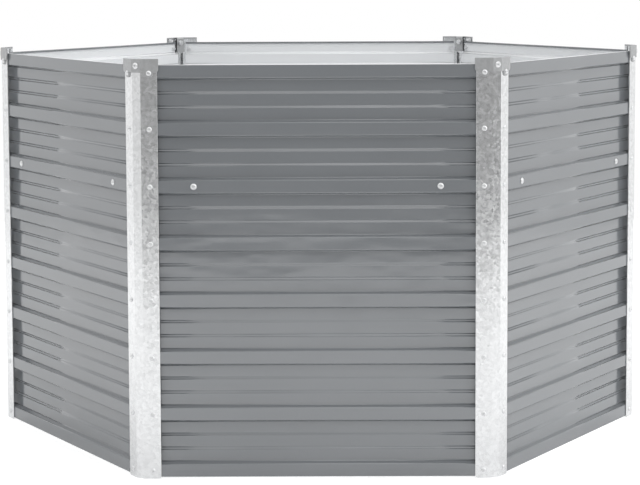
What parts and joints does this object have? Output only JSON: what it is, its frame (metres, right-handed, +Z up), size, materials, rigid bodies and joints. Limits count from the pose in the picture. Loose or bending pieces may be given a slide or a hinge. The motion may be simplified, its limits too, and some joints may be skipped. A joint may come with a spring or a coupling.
{
  "type": "raised garden bed",
  "caption": "Hexagonal raised garden bed with no bottom: ribbed steel side panels, folded zinc corner posts, top corner brackets and inner corner braces, all screwed together.",
  "frame": {"origin": "middle of the bed on the ground, between the feet of the corner posts", "axes": "+Z up; +X to the right-hand corner; the front side panel faces -Y"},
  "size_m": [1.3004, 1.1358, 0.7625],
  "materials": {
    "panel_coating": "glossy grey coating on ribbed steel sheet",
    "post_zinc": "bright galvanised sheet with fine spangle",
    "bracket_steel": "duller grey galvanised plate",
    "brace_zinc": "galvanised strip",
    "fastener_zinc": "zinc plated screws, bolts and nuts"
  },
  "bodies": {
    "root": {"side_panel_back_right": "panel_coating", "side_panel_back": "panel_coating", "side_panel_back_left": "panel_coating", "side_panel_front_left": "panel_coating", "side_panel_front": "panel_coating", "side_panel_front_right": "panel_coating", "corner_post_right": "post_zinc", "corner_post_back_right": "post_zinc", "corner_post_back_left": "post_zinc", "corner_post_left": "post_zinc", "corner_post_front_left": "post_zinc", "corner_post_front_right": "post_zinc", "top_bracket_right": "bracket_steel", "top_bracket_back_right": "bracket_steel", "top_bracket_back_left": "bracket_steel", "top_bracket_left": "bracket_steel", "top_bracket_front_left": "bracket_steel", "top_bracket_front_right": "bracket_steel", "corner_brace_right": "brace_zinc", "corner_brace_back_right": "brace_zinc", "corner_brace_back_left": "brace_zinc", "corner_brace_left": "brace_zinc", "corner_brace_front_left": "brace_zinc", "corner_brace_front_right": "brace_zinc", "post_screws_right": "fastener_zinc", "post_screws_back_right": "fastener_zinc", "post_screws_back_left": "fastener_zinc", "post_screws_left": "fastener_zinc", "post_screws_front_left": "fastener_zinc", "post_screws_front_right": "fastener_zinc", "post_nuts_right": "fastener_zinc", "post_nuts_back_right": "fastener_zinc", "post_nuts_back_left": "fastener_zinc", "post_nuts_left": "fastener_zinc", "post_nuts_front_left": "fastener_zinc", "post_nuts_front_right": "fastener_zinc", "brace_bolts_right": "fastener_zinc", "brace_bolts_back_right": "fastener_zinc", "brace_bolts_back_left": "fastener_zinc", "brace_bolts_left": "fastener_zinc", "brace_bolts_front_left": "fastener_zinc", "brace_bolts_front_right": "fastener_zinc", "brace_nuts_right": "fastener_zinc", "brace_nuts_back_right": "fastener_zinc", "brace_nuts_back_left": "fastener_zinc", "brace_nuts_left": "fastener_zinc", "brace_nuts_front_left": "fastener_zinc", "brace_nuts_front_right": "fastener_zinc", "bracket_bolts": "fastener_zinc", "bracket_nuts": "fastener_zinc"}
  },
  "joints": []
}
